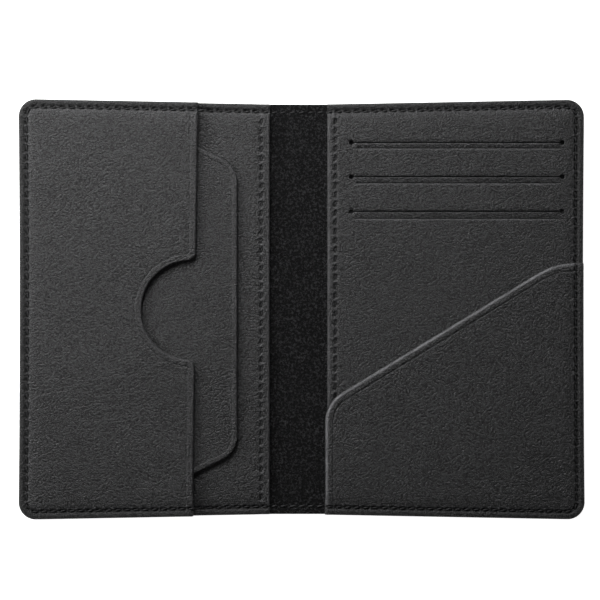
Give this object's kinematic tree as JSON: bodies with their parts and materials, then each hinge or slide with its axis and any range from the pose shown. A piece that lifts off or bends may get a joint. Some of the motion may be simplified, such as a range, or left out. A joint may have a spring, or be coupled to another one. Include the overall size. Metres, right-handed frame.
{
  "type": "passport holder",
  "caption": "Folding leather passport holder with a flexible spine, a notched passport pocket, a document pocket, card slots and a diagonal pocket.",
  "frame": {"origin": "on the outer face under the middle of the spine, with the holder lying open and flat", "axes": "+X from the front cover to the back cover, +Y to the holder's top edge, +Z out of the pockets"},
  "size_m": [0.1882, 0.1398, 0.0052],
  "materials": {
    "outer_leather": "satin fine pebbled grain",
    "panel_leather": "satin fine pebbled grain",
    "suede": "matt napped suede",
    "stiffener": "matt",
    "spine_filler": "matt non-woven",
    "pocket_fabric": "matt fine weave",
    "thread": "twisted polyester"
  },
  "bodies": {
    "back_cover": {"back_outer_leather": "outer_leather", "back_board": "stiffener", "back_lining": "suede", "card_panel": "panel_leather", "card_panel_hem": "panel_leather", "card_liner_top": "pocket_fabric", "card_liner_middle": "pocket_fabric", "card_liner_bottom": "pocket_fabric", "diagonal_pocket": "panel_leather", "diagonal_pocket_lining": "pocket_fabric", "diagonal_pocket_hem": "panel_leather", "back_perimeter_stitches": "thread", "card_panel_stitches": "thread"},
    "spine": {"spine_leather": "outer_leather", "spine_backing": "spine_filler", "spine_lining": "suede", "spine_stitches": "thread"},
    "front_cover": {"front_outer_leather": "outer_leather", "front_board": "stiffener", "front_lining": "suede", "base_panel": "panel_leather", "middle_pocket": "panel_leather", "middle_pocket_lining": "pocket_fabric", "middle_pocket_hem": "panel_leather", "top_pocket": "panel_leather", "top_pocket_lining": "pocket_fabric", "top_pocket_hem": "panel_leather", "front_perimeter_stitches": "thread", "base_panel_stitches": "thread"}
  },
  "joints": [
    {"name": "back_fold", "type": "hinge", "parent": "back_cover", "child": "spine", "pos_m": [0.0046, 0, 0.002], "axis": [0, 1, 0], "range_deg": [0, 90]},
    {"name": "front_fold", "type": "hinge", "parent": "spine", "child": "front_cover", "pos_m": [-0.0046, 0, 0.002], "axis": [0, 1, 0], "range_deg": [0, 90]}
  ]
}
